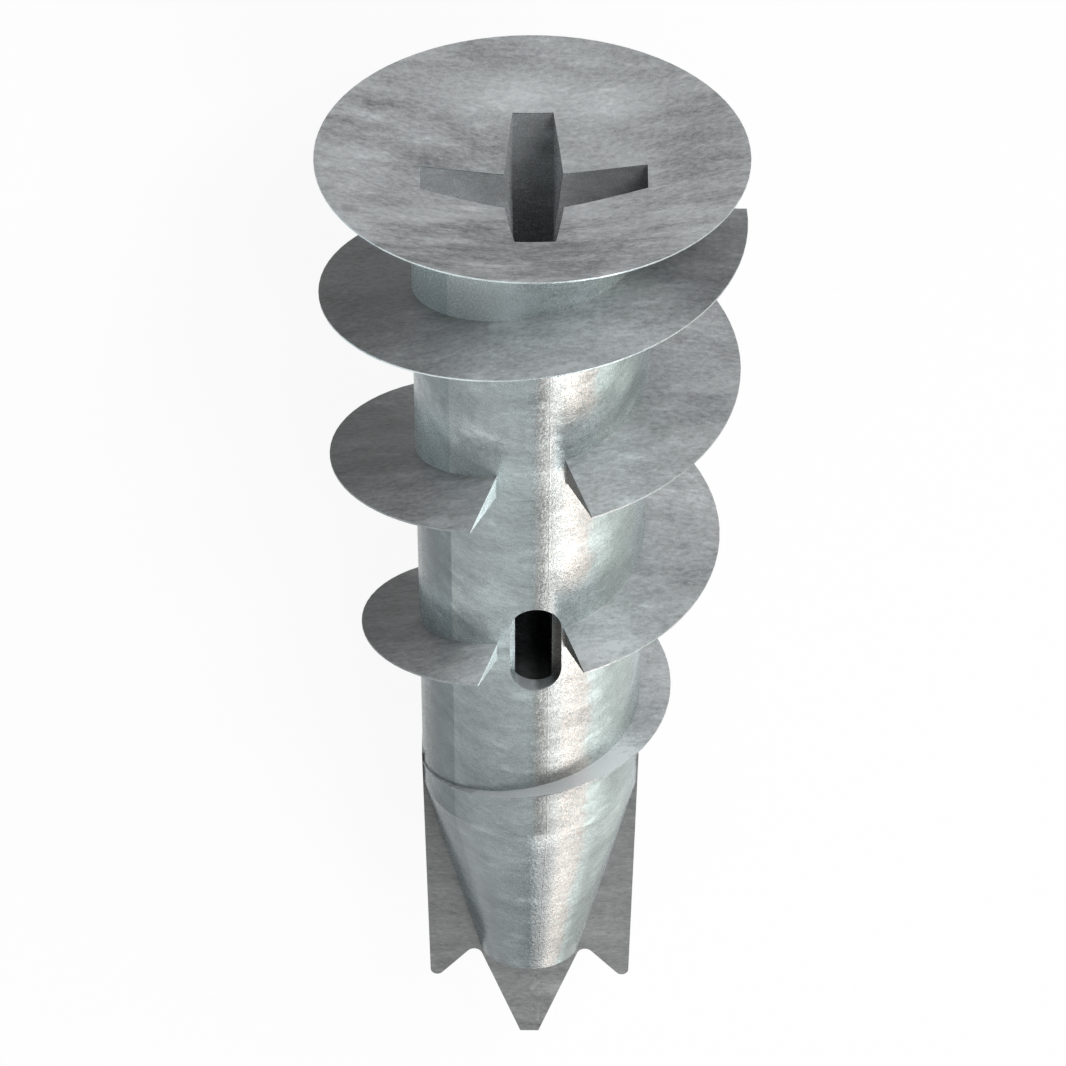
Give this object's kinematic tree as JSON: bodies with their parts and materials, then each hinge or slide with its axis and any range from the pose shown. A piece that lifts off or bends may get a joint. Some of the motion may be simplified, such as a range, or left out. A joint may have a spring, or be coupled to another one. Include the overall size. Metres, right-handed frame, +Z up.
{
  "type": "drywall anchor",
  "caption": "Self-drilling drywall anchor cast in zinc: dished head with cross recess, broken wide thread, side windows and flat three-point drill tip.",
  "frame": {"origin": "on the floor, under the middle of the anchor's box as it lies on its back", "axes": "+Y horizontally along the shank towards the head, +Z up out of the front window's side, +X across"},
  "size_m": [0.0124, 0.032, 0.0136],
  "materials": {
    "zinc": "die-cast zinc alloy, dull grey with cloudy streaks"
  },
  "bodies": {
    "root": {"anchor": "zinc"}
  },
  "joints": []
}
